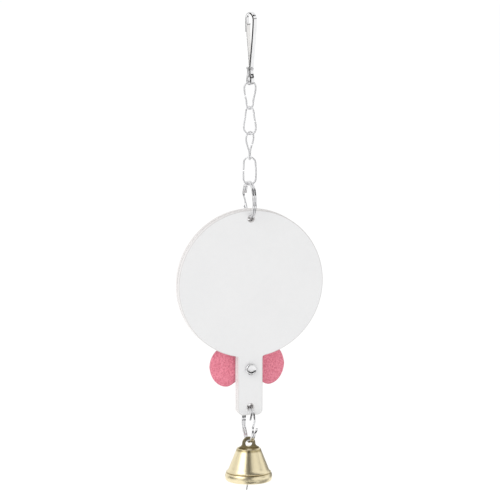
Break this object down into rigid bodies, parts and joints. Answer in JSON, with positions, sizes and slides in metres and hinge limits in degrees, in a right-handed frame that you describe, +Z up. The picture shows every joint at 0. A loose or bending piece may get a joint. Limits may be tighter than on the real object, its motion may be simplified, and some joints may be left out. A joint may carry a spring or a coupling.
{
  "type": "hanging bird mirror",
  "caption": "Hanging bird toy: round mirror with a short handle on a twisted chain and snap hook, with a felt bow riveted behind the handle and a small bell on a ring below.",
  "frame": {"origin": "inside the top of the snap hook, where the cage bar bears", "axes": "+Z up along the hanging chain, +X across the mirror, +Y from the white back to the mirror side"},
  "size_m": [0.08, 0.0252, 0.2596],
  "materials": {
    "nickel": "bright nickel plate",
    "spring_steel": "bright drawn",
    "white_plastic": "satin white",
    "silver_foil": "mirror",
    "clear_acrylic": "clear polished",
    "pink_felt": "felt",
    "pale_brass": "polished pale gold"
  },
  "bodies": {
    "hook": {"hook_body": "nickel", "gate_rivet": "nickel"},
    "gate": {"hook_gate": "spring_steel"},
    "link_1": {"chain_link_1": "nickel"},
    "link_2": {"chain_link_2": "nickel"},
    "link_3": {"chain_link_3": "nickel"},
    "link_4": {"chain_link_4": "nickel"},
    "upper_ring": {"upper_split_ring": "nickel"},
    "panel": {"back_plate": "white_plastic", "mirror_foil": "silver_foil", "acrylic_front": "clear_acrylic", "bow": "pink_felt", "rivet_post": "nickel", "rivet_cap": "nickel"},
    "lower_ring": {"lower_split_ring": "nickel"},
    "bell": {"bell_shell": "pale_brass", "bell_ear": "pale_brass"},
    "clapper": {"clapper_wire": "spring_steel", "clapper_ball": "spring_steel"}
  },
  "joints": [
    {"name": "gate_flex", "type": "hinge", "parent": "hook", "child": "gate", "pos_m": [0, 0, -0.02937], "axis": [0.9205, 0.3907, 0], "range_deg": [0, 8], "stiffness_Nm_per_rad": 0.05},
    {"name": "link_1_swing", "type": "hinge", "parent": "hook", "child": "link_1", "pos_m": [0, 0, -0.03641], "axis": [0.986, 0.1668, 0], "range_deg": [-30, 30]},
    {"name": "link_2_swing", "type": "hinge", "parent": "link_1", "child": "link_2", "pos_m": [0, 0, -0.05131], "axis": [0.7478, 0.6639, 0], "range_deg": [-30, 30]},
    {"name": "link_3_swing", "type": "hinge", "parent": "link_2", "child": "link_3", "pos_m": [0, 0, -0.06491], "axis": [0.8251, -0.565, 0], "range_deg": [-30, 30]},
    {"name": "link_4_swing", "type": "hinge", "parent": "link_3", "child": "link_4", "pos_m": [0, 0, -0.07851], "axis": [0.3486, 0.9373, 0], "range_deg": [-30, 30]},
    {"name": "upper_ring_swing", "type": "hinge", "parent": "link_4", "child": "upper_ring", "pos_m": [0, 0, -0.09211], "axis": [0.9938, -0.1115, 0], "range_deg": [-30, 30]},
    {"name": "panel_swing", "type": "hinge", "parent": "upper_ring", "child": "panel", "pos_m": [0, 0, -0.10999], "axis": [0, 1, 0], "range_deg": [-30, 30]},
    {"name": "lower_ring_swing", "type": "hinge", "parent": "panel", "child": "lower_ring", "pos_m": [0, 0, -0.21252], "axis": [0, 1, 0], "range_deg": [-30, 30]},
    {"name": "bell_swing", "type": "hinge", "parent": "lower_ring", "child": "bell", "pos_m": [0, 0, -0.23187], "axis": [1, 0, 0], "range_deg": [-20, 20]},
    {"name": "clapper_swing", "type": "hinge", "parent": "bell", "child": "clapper", "pos_m": [0, 0, -0.23799], "axis": [0, 1, 0], "range_deg": [-25, 25]}
  ]
}
